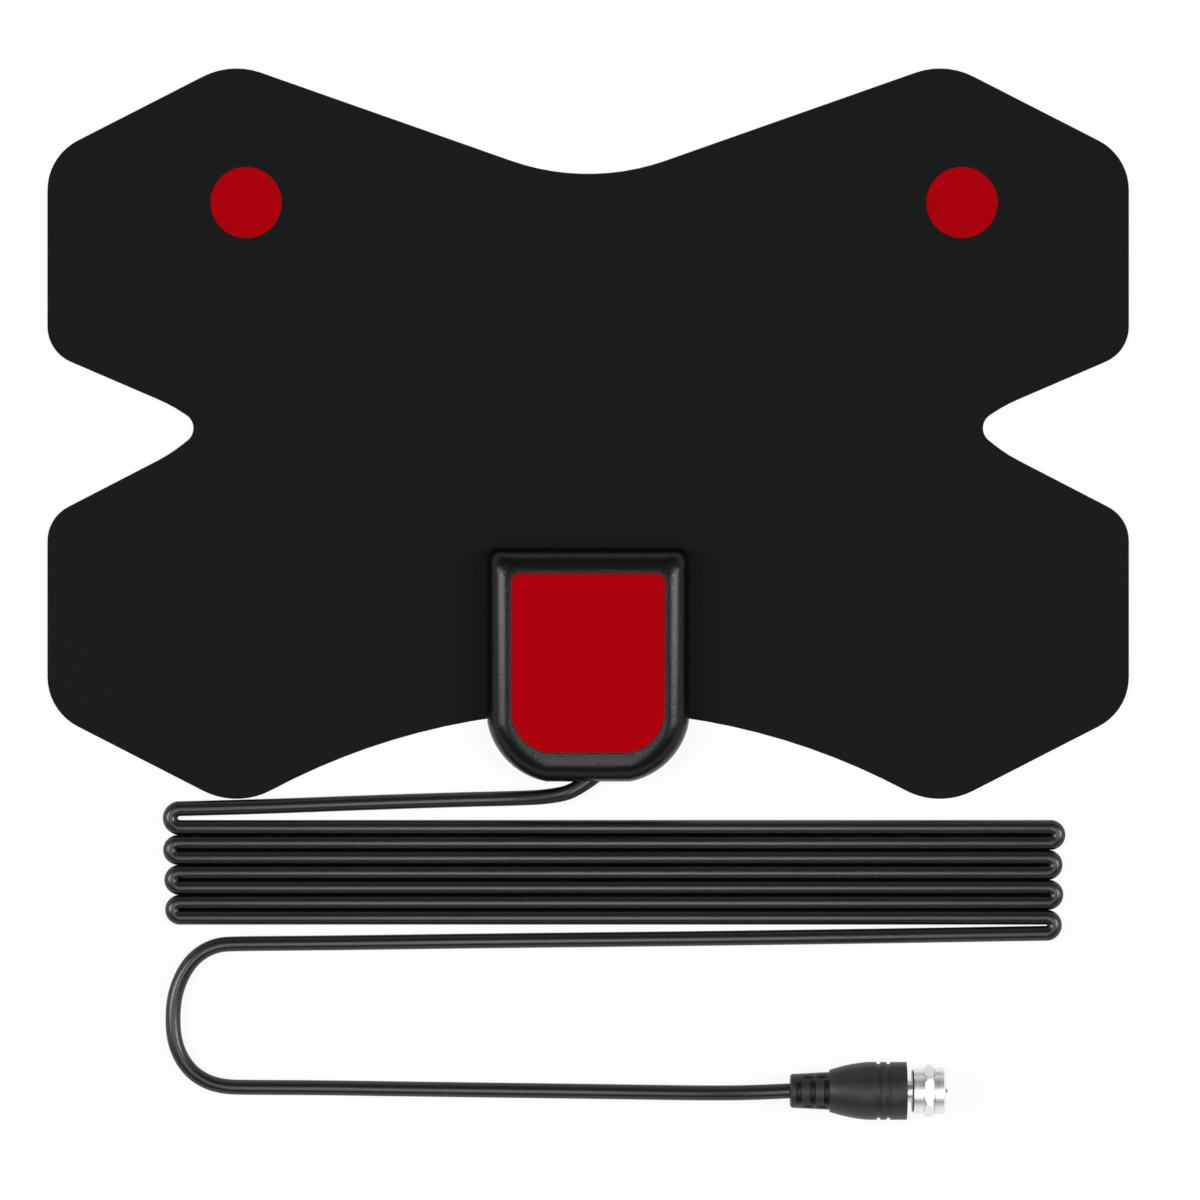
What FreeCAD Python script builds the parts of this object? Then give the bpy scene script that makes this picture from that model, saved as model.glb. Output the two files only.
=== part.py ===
import FreeCAD, Part
import math
import os
import Sketcher

# Flat indoor TV antenna: an X-shaped film panel with a small housing, a cable and an F plug.
# The panel lies on its back: X runs across it, Y runs up it, Z is its thickness.
# The origin is the middle of the panel, on the surface that it lies on.

doc = FreeCAD.newDocument("tv_antenna")
Vector = FreeCAD.Vector
UP = Vector(0, 0, 1)

# Driving dimensions, in millimetres and degrees
SIZES = {
    # panel outline, given by its sharp corners
    "panel_width": 265,
    "outer_corner_y": 68,
    "top_peak_inset": 45,
    "top_peak_y": 91,
    "top_dip_y": 60.2,
    "upper_notch_y": 20,
    "notch_depth": 38.3,
    "notch_tip_y": 1.6,
    "notch_shoulder_reach": 7.8,
    "upper_shoulder_rise": 5.28,
    "lower_shoulder_drop": 6.42,
    "lower_notch_y": 20.6,
    "low_peak_inset": 46.8,
    "low_peak_y": 92,
    "bottom_dip_y": 68,
    "outer_corner_radius": 13.7,
    "peak_radius": 18,
    "dip_radius": 57,
    "notch_corner_radius": 9.4,
    "notch_shoulder_radius": 38,
    "notch_tip_radius": 3.8,
    # panel layers
    "back_sheet_thickness": 0.3,
    "front_sheet_thickness": 0.4,
    "foil_thickness": 0.1,
    "foil_margin": 8,
    "foil_peak_margin": 12.8,
    "foil_dip_margin": 16,
    "foil_split": 6,
    "foil_tail_y": 56,
    # red discs
    "dot_diameter": 17.4,
    "dot_thickness": 0.1,
    "left_dot_inset": 48.7,
    "right_dot_inset": 40.9,
    "dot_y": 56.6,
    # housing
    "tape_thickness": 0.25,
    "tape_margin": 1.5,
    "housing_width": 49.3,
    "housing_top_y": 28.1,
    "housing_bottom_y": 85.2,
    "housing_top_radius": 5.2,
    "housing_low_corner": 14.4,
    "housing_low_radius": 18.2,
    "cover_height": 9.5,
    "rim_radius": 5,
    "cover_wall": 2,
    "cover_roof": 2.5,
    "cover_fit": 0.2,
    "rear_thickness": 1.2,
    # label inlay
    "label_width": 37.4,
    "label_top_y": 34.4,
    "label_bottom_y": 78,
    "label_top_radius": 2,
    "label_low_radius": 10,
    "label_thickness": 0.5,
    "label_depth": 0.6,
    "label_fit": 0.15,
    # housing screws
    "boss_inset": 5.65,
    "top_boss_y": 33.5,
    "low_boss_y": 66,
    "boss_diameter": 5,
    "screw_shank": 2,
    "screw_head_height": 0.8,
    "screw_length": 5,
    "screw_fit": 0.1,
    # circuit board
    "board_width": 28,
    "board_top_y": 37,
    "board_bottom_y": 61,
    "board_thickness": 1,
    "standoff_height": 0.4,
    "standoff_diameter": 4,
    "board_screw_x": 11,
    "board_screw_y": 57.5,
    "board_screw_head": 3.2,
    "board_screw_head_height": 1,
    "board_screw_shank": 1.6,
    "board_screw_length": 2.4,
    "stud_x": 10,
    "stud_y": 42,
    "stud_diameter": 3.6,
    "stud_fit": 0.3,
    "balun_length": 7,
    "balun_width": 6,
    "balun_height": 2.4,
    "balun_y": 46,
    "chip_length": 2,
    "chip_width": 1.25,
    "chip_height": 0.6,
    "chip_pitch": 4,
    "chip_row_y": 52.5,
    # cable
    "cable_diameter": 3.68,
    "exit_x": 0.2,
    "exit_angle": 40,
    "exit_hole": 4.4,
    "lead_inside": 6.6,
    "lead_outside": 3.2,
    "core_diameter": 1.7,
    "core_outside": 3,
    "relief_block_length": 4,
    "relief_block_width": 4.6,
    "relief_block_height": 4.5,
    # zigzag hank
    "hank_left_x": 100.3,
    "hank_right_x": 112.8,
    "hank_first_run_y": 96.5,
    "run_pitch": 3.68,
    "run_groove": 2.7,
    "run_web": 0.8,
    "lead_end_y": 91.9,
    "tail_start_y": 122.4,
    "fold_bulge": 3.3,
    # plug, along X from the rear of its boot
    "plug_x": 49.3,
    "plug_y": 160.6,
    "boot_diameter": 14.1,
    "boot_length": 28.4,
    "relief_length": 9.6,
    "relief_rear_diameter": 8.2,
    "relief_front_diameter": 9.2,
    "relief_slot": 1.3,
    "relief_first_slot": 1.4,
    "relief_slot_pitch": 3.4,
    "relief_slot_half": 2.9,
    "relief_core_diameter": 6,
    "relief_side_slot": 2.2,
    "relief_first_side_slot": 3.2,
    "relief_side_inner": 3.3,
    "relief_side_outer": 3.9,
    "relief_side_floor": 1.2,
    "boot_shoulder_diameter": 10.3,
    "boot_taper_length": 9.2,
    "boot_taper_radius": 40,
    "boot_groove_depth": 0.45,
    "boot_groove_width": 0.9,
    "boot_first_groove": 21.1,
    "boot_groove_pitch": 2.4,
    "boot_edge": 0.4,
    "post_socket_depth": 12,
    "post_rear_diameter": 9,
    "neck_diameter": 5.8,
    "neck_gap": 1.3,
    "flange_diameter": 8.4,
    "flange_thickness": 1,
    "insulator_diameter": 4.4,
    "insulator_fit": 0.05,
    "pin_diameter": 1,
    "pin_overhang": 0.8,
    "pin_depth": 8,
    # coupling nut
    "nut_length": 8,
    "nut_bore": 9,
    "nut_lip": 1.4,
    "nut_rear_diameter": 10.9,
    "nut_front_diameter": 11.3,
    "nut_hex": 11,
    "nut_hex_length": 2.1,
    "nut_hex_start": 3.1,
    "nut_hex_crown": 0.2,
    "nut_hex_bevel": 0.5,
    "nut_chamfer": 0.4,
    "nut_running_gap": 0.05,
    "nut_end_gap": 0.1,
}

sheet = doc.addObject("Spreadsheet::Sheet", "Sheet")
for row, (alias, number) in enumerate(SIZES.items(), start=1):
    sheet.set(f"A{row}", alias)
    sheet.set(f"B{row}", str(number))
    sheet.setAlias(f"B{row}", alias)
doc.recompute()

# Heights and places that several pieces share, worked out from the driving dimensions
DERIVED = {
    "top_peak_x": "panel_width / 2 - top_peak_inset",
    "notch_tip_x": "panel_width / 2 - notch_depth",
    "low_peak_x": "panel_width / 2 - low_peak_inset",
    "left_dot_x": "panel_width / 2 - left_dot_inset",
    "right_dot_x": "panel_width / 2 - right_dot_inset",
    "boss_x": "housing_width / 2 - boss_inset",
    "film_top": "back_sheet_thickness + front_sheet_thickness",
    "rear_bottom": "film_top + tape_thickness",
    "rear_top": "rear_bottom + rear_thickness",
    "cover_top": "film_top + cover_height",
    "roof_bottom": "cover_top - cover_roof",
    "board_bottom": "rear_top + standoff_height",
    "board_top": "board_bottom + board_thickness",
    "exit_z": "board_top + core_diameter / 2",
    "exit_bore_length": "5 * cover_wall / sin(exit_angle * 1 deg)",
    "plug_z": "boot_diameter / 2",
    "neck_length": "neck_gap + nut_lip + nut_end_gap",
    "nut_start": "boot_length + neck_gap",
}
for row, (alias, formula) in enumerate(DERIVED.items(), start=len(SIZES) + 1):
    sheet.set(f"A{row}", alias)
    sheet.set(f"B{row}", f"={formula}")
    sheet.setAlias(f"B{row}", alias)
doc.recompute()

NAMES = [*SIZES, *DERIVED]


def size(alias):
    """The present value of one cell of the sheet."""
    return float(sheet.get(alias))


def bind(thing, prop, formula):
    """Bind a property to a formula of the sheet's names."""
    words = formula.replace("(", " ( ").replace(")", " ) ").split()
    thing.setExpression(prop, " ".join(f"Sheet.{word}" if word in NAMES else word for word in words))


def worth(formula):
    """The present value of a formula of the sheet's names."""
    words = formula.replace("(", " ( ").replace(")", " ) ").split()
    return float(sheet.evalExpression(" ".join(words)))


def make_body(label):
    body = doc.addObject("PartDesign::Body", label)
    body.Label = label
    return body


def make_sketch(body, name, role="XY_Plane", height=None):
    """A sketch on one of the body's own origin planes, raised by a formula if given."""
    sketch = body.newObject("Sketcher::SketchObject", name)
    plane = next(item for item in body.Origin.OriginFeatures if item.Role == role)
    sketch.AttachmentSupport = [(plane, "")]
    sketch.MapMode = "FlatFace"
    if height:
        bind(sketch, "AttachmentOffset.Base.z", height)
    return sketch


def hold(sketch, kind, geometry, point, formula):
    """Hold one coordinate of a sketch point at a formula."""
    index = sketch.addConstraint(Sketcher.Constraint(kind, -1, 1, geometry, point, worth(formula)))
    bind(sketch, f"Constraints[{index}]", formula)


def draw_outline(sketch, corners):
    """A closed outline through corners (x, y), each with an optional radius to the next corner.

    A positive radius bulges to the right of the way from corner to corner, a negative one to the left.
    """
    places = [Vector(worth(corner[0]), worth(corner[1]), 0) for corner in corners]
    first = sketch.GeometryCount
    for index, corner in enumerate(corners):
        start = places[index]
        end = places[(index + 1) % len(corners)]
        if len(corner) == 2:
            sketch.addGeometry(Part.LineSegment(start, end), False)
            continue
        radius = worth(corner[2])
        chord = end - start
        side = Vector(chord.y, -chord.x, 0).normalize() * math.copysign(1, radius)
        sagitta = abs(radius) - math.sqrt(radius**2 - (chord.Length / 2) ** 2)
        middle = (start + end) * 0.5 + side * sagitta
        sketch.addGeometry(Part.Arc(start, middle, end), False)
    ends = []
    for index, corner in enumerate(corners):
        geometry = first + index
        straight = len(corner) == 2
        forward = straight or sketch.getPoint(geometry, 1).isEqual(places[index], 1e-6)
        ends.append((1, 2) if forward else (2, 1))
        if not straight:
            radius = corner[2].lstrip("-")
            mark = sketch.addConstraint(Sketcher.Constraint("Radius", geometry, worth(radius)))
            bind(sketch, f"Constraints[{mark}]", radius)
    for index, corner in enumerate(corners):
        geometry = first + index
        following = (index + 1) % len(corners)
        sketch.addConstraint(
            Sketcher.Constraint("Coincident", geometry, ends[index][1], first + following, ends[following][0])
        )
        hold(sketch, "DistanceX", geometry, ends[index][0], corner[0])
        hold(sketch, "DistanceY", geometry, ends[index][0], corner[1])


def draw_box(sketch, left, right, bottom, top):
    draw_outline(sketch, [(left, top), (left, bottom), (right, bottom), (right, top)])


def draw_circle(sketch, x, y, diameter):
    centre = Vector(worth(x), worth(y), 0)
    geometry = sketch.addGeometry(Part.Circle(centre, UP, worth(diameter) / 2), False)
    mark = sketch.addConstraint(Sketcher.Constraint("Diameter", geometry, worth(diameter)))
    bind(sketch, f"Constraints[{mark}]", diameter)
    hold(sketch, "DistanceX", geometry, 3, x)
    hold(sketch, "DistanceY", geometry, 3, y)


def pad(body, sketch, length):
    feature = body.newObject("PartDesign::Pad", "Pad")
    feature.Profile = sketch
    bind(feature, "Length", length)
    doc.recompute()
    return feature


def pocket(body, sketch, depth, upward=True):
    """Cut a sketch into the body, upward from its plane or downward."""
    before = body.Shape.Volume
    feature = body.newObject("PartDesign::Pocket", "Pocket")
    feature.Profile = sketch
    feature.Reversed = upward
    bind(feature, "Length", depth)
    doc.recompute()
    if body.Shape.Volume >= before:
        raise ValueError(f"{body.Label}: {sketch.Label} cuts nothing")
    return feature


def revolve(body, sketch):
    """Turn a sketch of the XZ plane about the X axis."""
    feature = body.newObject("PartDesign::Revolution", "Revolution")
    feature.Profile = sketch
    feature.ReferenceAxis = (sketch, ["H_Axis"])
    feature.Angle = 360
    doc.recompute()
    return feature


def fillet(body, feature, chosen, radius):
    """Round the edges of the body's last feature that a test picks out."""
    names = [f"Edge{n}" for n, edge in enumerate(feature.Shape.Edges, start=1) if chosen(edge)]
    rounding = body.newObject("PartDesign::Fillet", "Fillet")
    rounding.Base = (feature, names)
    bind(rounding, "Radius", radius)
    doc.recompute()
    return rounding


def upright_at(places):
    """A test for upright edges that stand on one of the places (x, y)."""
    points = [(worth(x), worth(y)) for x, y in places]

    def chosen(edge):
        low, high = edge.Vertexes[0].Point, edge.Vertexes[-1].Point
        if math.hypot(low.x - high.x, low.y - high.y) > 1e-4 or abs(low.z - high.z) < 1e-4:
            return False
        return any(math.hypot(low.x - x, low.y - y) < 1e-3 for x, y in points)

    return chosen


def both_sides(x, y):
    return [(f"- {x}", y), (x, y)]


def place(thing, x, y, z):
    bind(thing, "Placement.Base.x", x)
    bind(thing, "Placement.Base.y", y)
    bind(thing, "Placement.Base.z", z)


def box(name, length, width, height, x, y, z):
    """A block centred on x and y that stands on z."""
    block = doc.addObject("Part::Box", name)
    bind(block, "Length", length)
    bind(block, "Width", width)
    bind(block, "Height", height)
    place(block, f"{x} - {length} / 2", f"{y} - {width} / 2", z)
    return block


def cylinder(name, diameter, height, x, y, z):
    """A round bar that stands on z."""
    bar = doc.addObject("Part::Cylinder", name)
    bind(bar, "Radius", f"{diameter} / 2")
    bind(bar, "Height", height)
    place(bar, x, y, z)
    return bar


def group(label, members):
    """Like pieces that share one node, each a solid of its own."""
    compound = doc.addObject("Part::Compound", label)
    compound.Label = label
    compound.Links = members
    return compound


# Panel: two sheets with the same outline, cut as an X with four blunt arms
def panel_sheet(label, height, thickness):
    body = make_body(label)
    sketch = make_sketch(body, f"{label}_outline", height=height)
    half = "panel_width / 2"
    shoulder = "( notch_tip_x + notch_shoulder_reach )"
    upper_shoulder = "( notch_tip_y + upper_shoulder_rise )"
    lower_shoulder = "( notch_tip_y - lower_shoulder_drop )"
    low_sag = "( low_peak_y - bottom_dip_y )"
    low_radius = f"( low_peak_x * low_peak_x + {low_sag} * {low_sag} ) / ( 2 * {low_sag} )"
    right = [
        ("top_peak_x", "top_peak_y"),
        (half, "outer_corner_y"),
        (half, "upper_notch_y"),
        (shoulder, upper_shoulder),
        ("notch_tip_x", "notch_tip_y"),
        (shoulder, lower_shoulder),
        (half, "- lower_notch_y"),
        (half, "- outer_corner_y"),
        ("low_peak_x", "- low_peak_y", low_radius),
    ]
    left = [(f"- {x}", y) for x, y, *_ in reversed(right)]
    draw_outline(sketch, [("0", "top_dip_y")] + right + left)
    last = pad(body, sketch, thickness)
    for places, radius in (
        (both_sides(half, "outer_corner_y") + both_sides(half, "- outer_corner_y"), "outer_corner_radius"),
        (both_sides("top_peak_x", "top_peak_y") + both_sides("low_peak_x", "- low_peak_y"), "peak_radius"),
        (both_sides(half, "upper_notch_y") + both_sides(half, "- lower_notch_y"), "notch_corner_radius"),
        (both_sides(shoulder, upper_shoulder), "notch_shoulder_radius"),
        (both_sides(shoulder, lower_shoulder), "notch_shoulder_radius"),
        (both_sides("notch_tip_x", "notch_tip_y"), "notch_tip_radius"),
        ([("0", "top_dip_y")], "dip_radius"),
    ):
        last = fillet(body, last, upright_at(places), radius)
    return body


def draw_foil(sketch, side):
    """One half of the foil radiator, a margin inside the panel, with its tail under the housing."""
    edge = "( panel_width / 2 - foil_margin )"
    corners = [
        ("foil_split / 2", "( top_dip_y - foil_dip_margin )"),
        ("top_peak_x", "( top_peak_y - foil_peak_margin )"),
        (edge, "( outer_corner_y - foil_margin )"),
        (edge, "( upper_notch_y + foil_margin )"),
        ("( notch_tip_x - foil_dip_margin )", "notch_tip_y"),
        (edge, "( - lower_notch_y - foil_margin )"),
        (edge, "( - outer_corner_y + foil_margin )"),
        ("low_peak_x", "( - low_peak_y + foil_peak_margin )"),
        ("( housing_width / 2 )", "- foil_tail_y"),
        ("foil_split / 2", "- foil_tail_y"),
    ]
    draw_outline(sketch, [(f"{side} * {x}", y) for x, y in corners])


back_sheet = panel_sheet("back_sheet", "0", "back_sheet_thickness")

front_sheet = panel_sheet("front_sheet", "back_sheet_thickness", "front_sheet_thickness")
for side in ("-1", "1"):
    sketch = make_sketch(front_sheet, "foil_pocket", height="back_sheet_thickness")
    draw_foil(sketch, side)
    pocket(front_sheet, sketch, "foil_thickness")
sketch = make_sketch(front_sheet, "contact_windows", height="back_sheet_thickness")
for x, y in both_sides("stud_x", "- stud_y"):
    draw_circle(sketch, x, y, "stud_diameter + 2 * stud_fit")
pocket(front_sheet, sketch, "front_sheet_thickness")

foils = []
for label, side in (("left_foil_element", "-1"), ("right_foil_element", "1")):
    foil = make_body(label)
    sketch = make_sketch(foil, f"{label}_outline", height="back_sheet_thickness")
    draw_foil(sketch, side)
    pad(foil, sketch, "foil_thickness")
    foils.append(foil)

left_dot = cylinder("left_marker_dot", "dot_diameter", "dot_thickness", "- left_dot_x", "dot_y", "film_top")
right_dot = cylinder("right_marker_dot", "dot_diameter", "dot_thickness", "right_dot_x", "dot_y", "film_top")


# Housing: a moulded shell over a flat back, taped to the panel
def draw_shield(sketch, half, top, bottom, corner, radius):
    """Square shoulders at the top and large round corners at the bottom."""
    draw_outline(
        sketch,
        [
            (f"- {half}", top),
            (f"- {half}", f"{bottom} + {corner}", radius),
            (f"- {half} + {corner}", bottom),
            (f"{half} - {corner}", bottom, radius),
            (half, f"{bottom} + {corner}"),
            (half, top),
        ],
    )


def inset_shield(sketch, inset):
    draw_shield(
        sketch,
        f"( housing_width / 2 - {inset} )",
        f"( - housing_top_y - {inset} )",
        f"( - housing_bottom_y + {inset} )",
        f"( housing_low_corner - {inset} )",
        f"( housing_low_radius - {inset} )",
    )


BOSSES = both_sides("boss_x", "- top_boss_y") + both_sides("boss_x", "- low_boss_y")

tape = make_body("adhesive_pad")
sketch = make_sketch(tape, "tape_outline", height="film_top")
tape_half = "( housing_width / 2 - cover_wall - cover_fit - tape_margin )"
tape_top = "( - housing_top_y - cover_wall - cover_fit - tape_margin )"
tape_bottom = "( - bottom_dip_y + tape_margin )"
draw_box(sketch, f"- {tape_half}", tape_half, tape_bottom, tape_top)
pad(tape, sketch, "tape_thickness")
sketch = make_sketch(tape, "tape_holes", height="film_top")
for x, y in both_sides("stud_x", "- stud_y"):
    draw_circle(sketch, x, y, "stud_diameter + 2 * stud_fit")
pocket(tape, sketch, "tape_thickness")

rear_cover = make_body("rear_cover")
sketch = make_sketch(rear_cover, "rear_outline", height="rear_bottom")
inset_shield(sketch, "( cover_wall + cover_fit )")
pad(rear_cover, sketch, "rear_thickness")
STANDOFFS = both_sides("board_screw_x", "- board_screw_y") + both_sides(
    "( board_width / 2 - standoff_diameter / 2 )", "( - board_top_y - standoff_diameter / 2 )"
)
sketch = make_sketch(rear_cover, "standoffs", height="rear_top")
for x, y in STANDOFFS:
    draw_circle(sketch, x, y, "standoff_diameter")
pad(rear_cover, sketch, "standoff_height")
sketch = make_sketch(rear_cover, "rear_holes", height="rear_bottom")
for x, y in BOSSES:
    draw_circle(sketch, x, y, "screw_shank + 2 * screw_fit")
for x, y in both_sides("stud_x", "- stud_y"):
    draw_circle(sketch, x, y, "stud_diameter + 2 * stud_fit")
for x, y in both_sides("board_screw_x", "- board_screw_y"):
    draw_circle(sketch, x, y, "board_screw_shank + 2 * screw_fit")
last = pocket(rear_cover, sketch, "rear_thickness + standoff_height")


def screw_mouth(edge):
    """The lower rim of a hole for a cover screw."""
    round_rim = isinstance(edge.Curve, Part.Circle)
    wide = round_rim and abs(edge.Curve.Radius - worth("screw_shank / 2 + screw_fit")) < 1e-6
    return wide and abs(edge.Vertexes[0].Z - size("rear_bottom")) < 1e-6


sinks = rear_cover.newObject("PartDesign::Chamfer", "Countersinks")
sinks.Base = (last, [f"Edge{n}" for n, edge in enumerate(last.Shape.Edges, start=1) if screw_mouth(edge)])
bind(sinks, "Size", "screw_head_height")
doc.recompute()

front_body = make_body("front_shell")
sketch = make_sketch(front_body, "cover_outline", height="film_top")
inset_shield(sketch, "0")
last = pad(front_body, sketch, "cover_height")
last = fillet(
    front_body,
    last,
    lambda edge: all(abs(vertex.Z - size("cover_top")) < 1e-6 for vertex in edge.Vertexes),
    "rim_radius",
)
for side, bulge in (("-1", "-housing_top_radius"), ("1", "housing_top_radius")):
    sketch = make_sketch(front_body, "shoulder", height="film_top")
    draw_outline(
        sketch,
        [
            (f"{side} * housing_width / 2", "- housing_top_y"),
            (f"{side} * housing_width / 2", "( - housing_top_y - housing_top_radius )", bulge),
            (f"{side} * ( housing_width / 2 - housing_top_radius )", "- housing_top_y"),
        ],
    )
    pocket(front_body, sketch, "cover_height")
sketch = make_sketch(front_body, "cavity", height="film_top")
inset_shield(sketch, "cover_wall")
pocket(front_body, sketch, "cover_height - cover_roof")
sketch = make_sketch(front_body, "bosses", height="rear_top")
for x, y in BOSSES:
    draw_circle(sketch, x, y, "boss_diameter")
pad(front_body, sketch, "roof_bottom - rear_top")
sketch = make_sketch(front_body, "pilot_holes", height="rear_top")
for x, y in BOSSES:
    draw_circle(sketch, x, y, "screw_shank + 2 * screw_fit")
pocket(front_body, sketch, "screw_length - rear_thickness")
sketch = make_sketch(front_body, "label_recess", height="cover_top - label_depth")


def draw_label(sketch, grow):
    """Small round corners at the top of the label and large ones at the bottom."""
    half = f"( label_width / 2 + {grow} )"
    top = f"( - label_top_y + {grow} )"
    bottom = f"( - label_bottom_y - {grow} )"
    small = f"( label_top_radius + {grow} )"
    large = f"( label_low_radius + {grow} )"
    draw_outline(
        sketch,
        [
            (f"- {half}", f"{top} - {small}"),
            (f"- {half}", f"{bottom} + {large}", large),
            (f"- {half} + {large}", bottom),
            (f"{half} - {large}", bottom, large),
            (half, f"{bottom} + {large}"),
            (half, f"{top} - {small}", small),
            (f"{half} - {small}", top),
            (f"- {half} + {small}", top, small),
        ],
    )


draw_label(sketch, "label_fit")
pocket(front_body, sketch, "label_depth")

# The cable leaves through a slanted hole in the lower wall
exit_turn = math.radians(size("exit_angle"))
exit_way = Vector(-math.cos(exit_turn), -math.sin(exit_turn), 0)
exit_point = Vector(size("exit_x"), -size("housing_bottom_y"), size("exit_z"))
exit_bore = doc.addObject("Part::Cylinder", "exit_bore")
bind(exit_bore, "Radius", "exit_hole / 2")
bind(exit_bore, "Height", "exit_bore_length")
bore_start = exit_point - exit_way * (size("exit_bore_length") / 2)
exit_bore.Placement = FreeCAD.Placement(bore_start, FreeCAD.Rotation(UP, exit_way))
front_cover = doc.addObject("Part::Cut", "front_cover")
front_cover.Base = front_body
front_cover.Tool = exit_bore

label_plate = make_body("label_plate")
sketch = make_sketch(label_plate, "label_outline", height="cover_top - label_depth")
draw_label(sketch, "0")
pad(label_plate, sketch, "label_thickness")

screws = []
for x, y in BOSSES:
    head = doc.addObject("Part::Cone", "screw_head")
    bind(head, "Radius1", "screw_shank / 2 + screw_head_height")
    bind(head, "Radius2", "screw_shank / 2")
    bind(head, "Height", "screw_head_height")
    place(head, x, y, "rear_bottom")
    shank = cylinder("screw_shank", "screw_shank", "screw_length", x, y, "rear_bottom")
    screw = doc.addObject("Part::Fuse", "cover_screw")
    screw.Base = head
    screw.Tool = shank
    screws.append(screw)
cover_screws = group("cover_screws", screws)


# Circuit board with the parts that it carries
board = make_body("circuit_board")
sketch = make_sketch(board, "board_outline", height="board_bottom")
draw_box(sketch, "- board_width / 2", "board_width / 2", "- board_bottom_y", "- board_top_y")
pad(board, sketch, "board_thickness")
sketch = make_sketch(board, "board_holes", height="board_bottom")
for x, y in both_sides("board_screw_x", "- board_screw_y"):
    draw_circle(sketch, x, y, "board_screw_shank + 2 * screw_fit")
pocket(board, sketch, "board_thickness")

screws = []
for x, y in both_sides("board_screw_x", "- board_screw_y"):
    head = cylinder("pan_head", "board_screw_head", "board_screw_head_height", x, y, "board_top")
    screw_foot = "board_top - board_screw_length"
    shank = cylinder("pan_shank", "board_screw_shank", "board_screw_length", x, y, screw_foot)
    screw = doc.addObject("Part::Fuse", "board_screw")
    screw.Base = head
    screw.Tool = shank
    screws.append(screw)
board_screws = group("board_screws", screws)

balun = box("balun_transformer", "balun_length", "balun_width", "balun_height", "0", "- balun_y", "board_top")
chips = []
for step in ("-1.5", "-0.5", "0.5", "1.5"):
    x = f"{step} * chip_pitch"
    chips.append(box("chip", "chip_length", "chip_width", "chip_height", x, "- chip_row_y", "board_top"))
chip_parts = group("chip_parts", chips)
stud_height = "board_bottom - back_sheet_thickness - foil_thickness"
studs = [
    cylinder("stud", "stud_diameter", stud_height, x, y, "back_sheet_thickness + foil_thickness")
    for x, y in both_sides("stud_x", "- stud_y")
]
contact_studs = group("contact_studs", studs)


# Cable: round tubes along straight runs that are joined by arcs touching both runs
ARC_SHARE = 0.45


def tube(label, route, diameter):
    """A round tube along a route of points. It prints the radius of each bend."""
    edges = []
    radii = []
    start = route[0]
    for before, corner, after in zip(route, route[1:], route[2:]):
        back = before - corner
        ahead = after - corner
        half_turn = (math.pi - back.getAngle(ahead)) / 2
        reach = ARC_SHARE * min(back.Length, ahead.Length)
        radius = reach / math.tan(half_turn)
        back.normalize()
        ahead.normalize()
        inward = (back + ahead).normalize()
        middle = corner + inward * (radius / math.cos(half_turn) - radius)
        edges.append(Part.LineSegment(start, corner + back * reach).toShape())
        edges.append(Part.Arc(corner + back * reach, middle, corner + ahead * reach).toShape())
        start = corner + ahead * reach
        radii.append(radius)
    edges.append(Part.LineSegment(start, route[-1]).toShape())
    path = Part.Wire(edges)
    ring = Part.Wire([Part.makeCircle(diameter / 2, route[0], route[1] - route[0])])
    piece = doc.addObject("Part::Feature", label)
    piece.Shape = path.makePipeShell([ring], True, True)
    expected = math.pi * diameter**2 / 4 * path.Length
    print(f"{label}: length {path.Length:.1f} mm, volume ratio {piece.Shape.Volume / expected:.4f}")
    print("  bend radii", " ".join(f"{radius:.0f}" for radius in radii))
    return piece


cable = size("cable_diameter")
floor_z = cable / 2
lead_start = exit_point - exit_way * size("lead_inside")

relief = doc.addObject("Part::Box", "strain_relief")
bind(relief, "Length", "relief_block_length")
bind(relief, "Width", "relief_block_width")
bind(relief, "Height", "relief_block_height")
across = Vector(exit_way.y, -exit_way.x, 0)
relief_corner = lead_start - across * (size("relief_block_width") / 2)
relief_corner.z = size("rear_top")
relief.Placement = FreeCAD.Placement(relief_corner, FreeCAD.Rotation(UP, math.degrees(exit_turn)))

core_start = lead_start - exit_way * size("relief_block_length")
core_route = [
    core_start,
    core_start - exit_way * size("core_outside"),
    Vector(12, -73.5, size("exit_z")),
    Vector(11.7, -70, size("exit_z")),
    Vector(9.6, -66.4, size("exit_z")),
    Vector(6.2, -62.6, size("exit_z")),
    Vector(3, -59.5, size("exit_z")),
    Vector(1.6, -56, size("exit_z")),
]
coax_core = tube("coax_core", core_route, size("core_diameter"))

lead_route = [
    lead_start,
    exit_point + exit_way * size("lead_outside"),
    Vector(-9.5, -89.0, 2.9),
    Vector(-19, -89.4, floor_z),
    Vector(-34, -89.75, floor_z),
    Vector(-58, -90.55, floor_z),
    Vector(-80, -91.4, floor_z),
    Vector(-size("hank_left_x"), -size("lead_end_y"), floor_z),
]
cable_lead = tube("cable_lead", lead_route, cable)

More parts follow.
